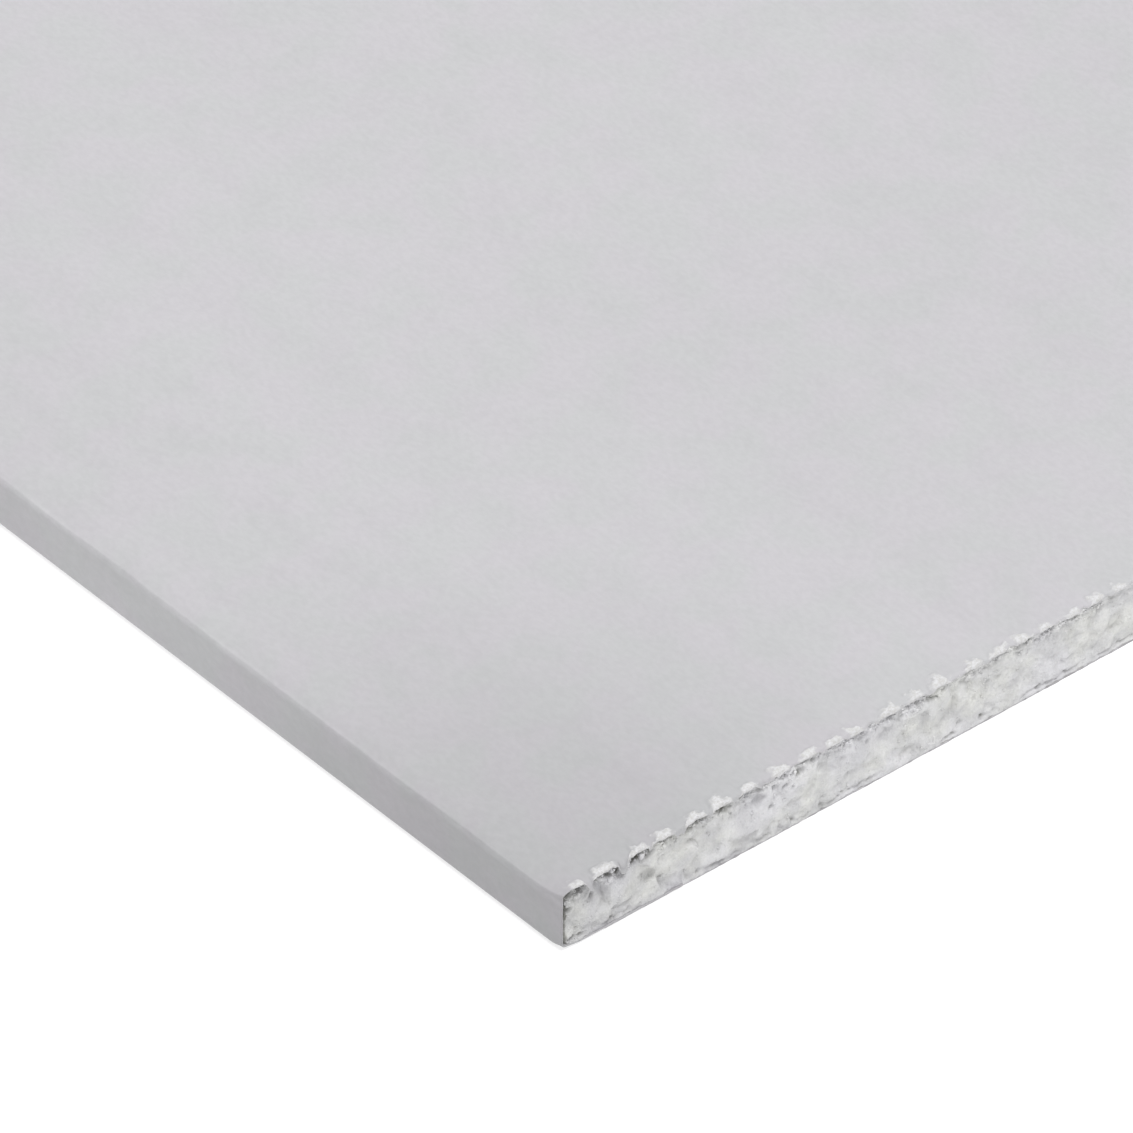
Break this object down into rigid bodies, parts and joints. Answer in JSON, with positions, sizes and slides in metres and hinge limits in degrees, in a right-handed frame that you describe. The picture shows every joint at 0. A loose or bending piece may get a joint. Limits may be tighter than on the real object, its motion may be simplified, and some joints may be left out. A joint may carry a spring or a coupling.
{
  "type": "drywall sheet",
  "caption": "Full sheet of paper-faced gypsum board, with tapered paper-wrapped long edges and square-cut ends that show the white core, for lining walls and ceilings.",
  "frame": {"origin": "centre of the back face, which the sheet lies on", "axes": "+X across the width, +Y along the length, +Z out of the face, up"},
  "size_m": [1.2192, 2.4384, 0.0127],
  "materials": {
    "gypsum": "matt foamed plaster, crumbly where it is cut",
    "face_paper": "smooth matt pale grey paper",
    "back_paper": "rough matt grey-brown recycled paper"
  },
  "bodies": {
    "root": {"gypsum_core": "gypsum", "face_paper": "face_paper", "back_paper": "back_paper"}
  },
  "joints": []
}
